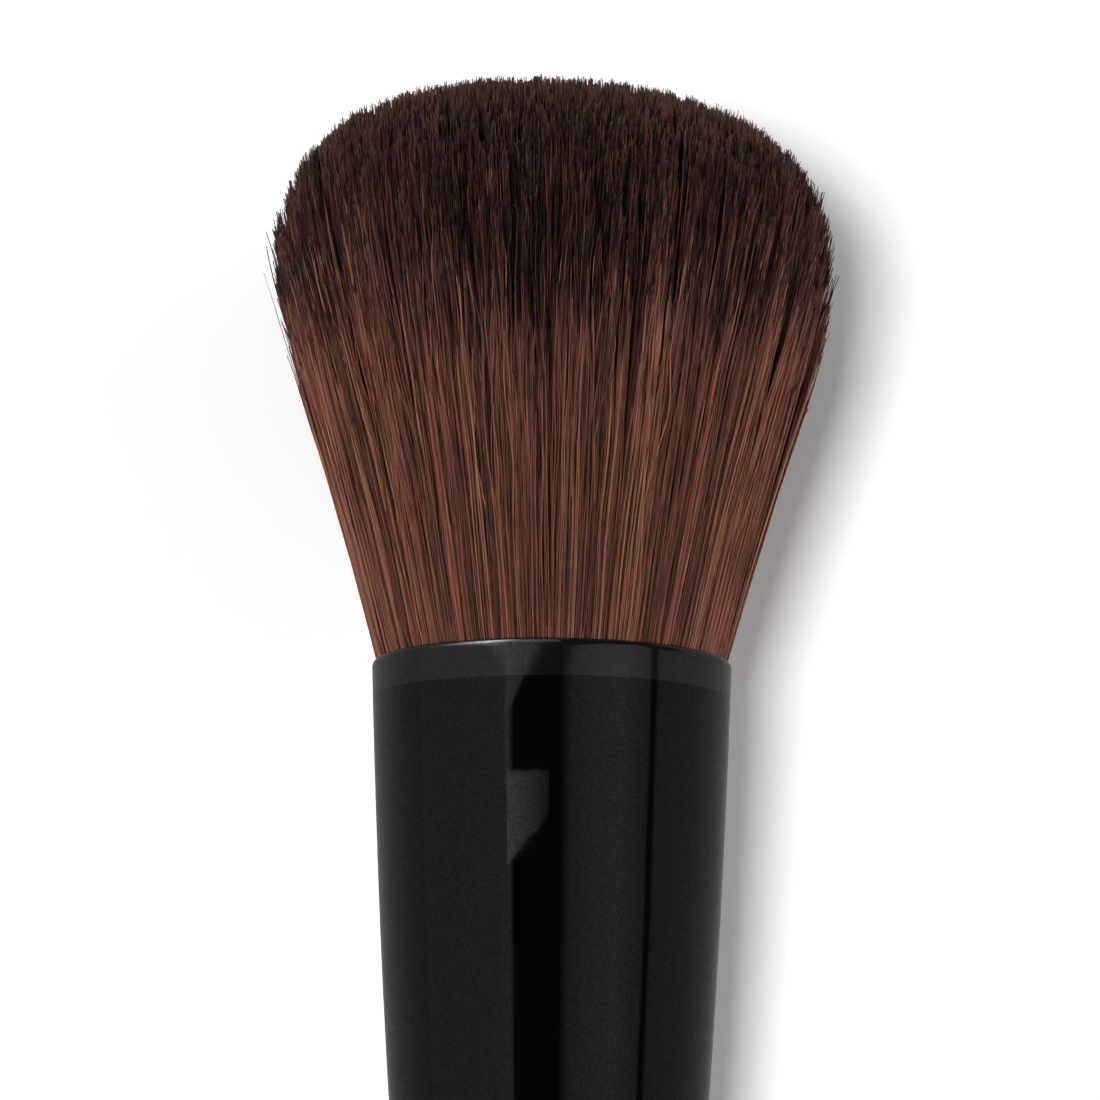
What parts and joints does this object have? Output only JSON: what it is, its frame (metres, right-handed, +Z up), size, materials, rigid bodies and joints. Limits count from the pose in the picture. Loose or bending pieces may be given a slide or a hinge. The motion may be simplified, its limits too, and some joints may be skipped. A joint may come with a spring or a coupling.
{
  "type": "makeup brush",
  "caption": "Double-ended makeup brush: a wide domed bristle head and a small domed one, set in flush gloss-black ferrules on a waisted handle.",
  "frame": {"origin": "on the table, under the middle of the brush's length and width", "axes": "+Y along the brush towards its large head, +Z up from the table, +X to the right"},
  "size_m": [0.0382, 0.1722, 0.0376],
  "materials": {
    "ferrule_lacquer": "gloss black lacquer on drawn aluminium",
    "handle_lacquer": "gloss black lacquer on turned wood",
    "mouth_band": "smoky gloss enamel",
    "bristle_fibre": "fine synthetic filament, red-brown with dark brown tips",
    "thread": "waxed thread",
    "epoxy": "amber cast epoxy"
  },
  "bodies": {
    "root": {"large_bristle_tuft": "bristle_fibre", "large_root_bundle": "bristle_fibre", "large_binding_thread": "thread", "large_epoxy_plug": "epoxy", "large_ferrule": "ferrule_lacquer", "large_mouth_band": "mouth_band", "handle": "handle_lacquer", "small_bristle_tuft": "bristle_fibre", "small_root_bundle": "bristle_fibre", "small_binding_thread": "thread", "small_epoxy_plug": "epoxy", "small_ferrule": "ferrule_lacquer", "small_mouth_band": "mouth_band"}
  },
  "joints": []
}
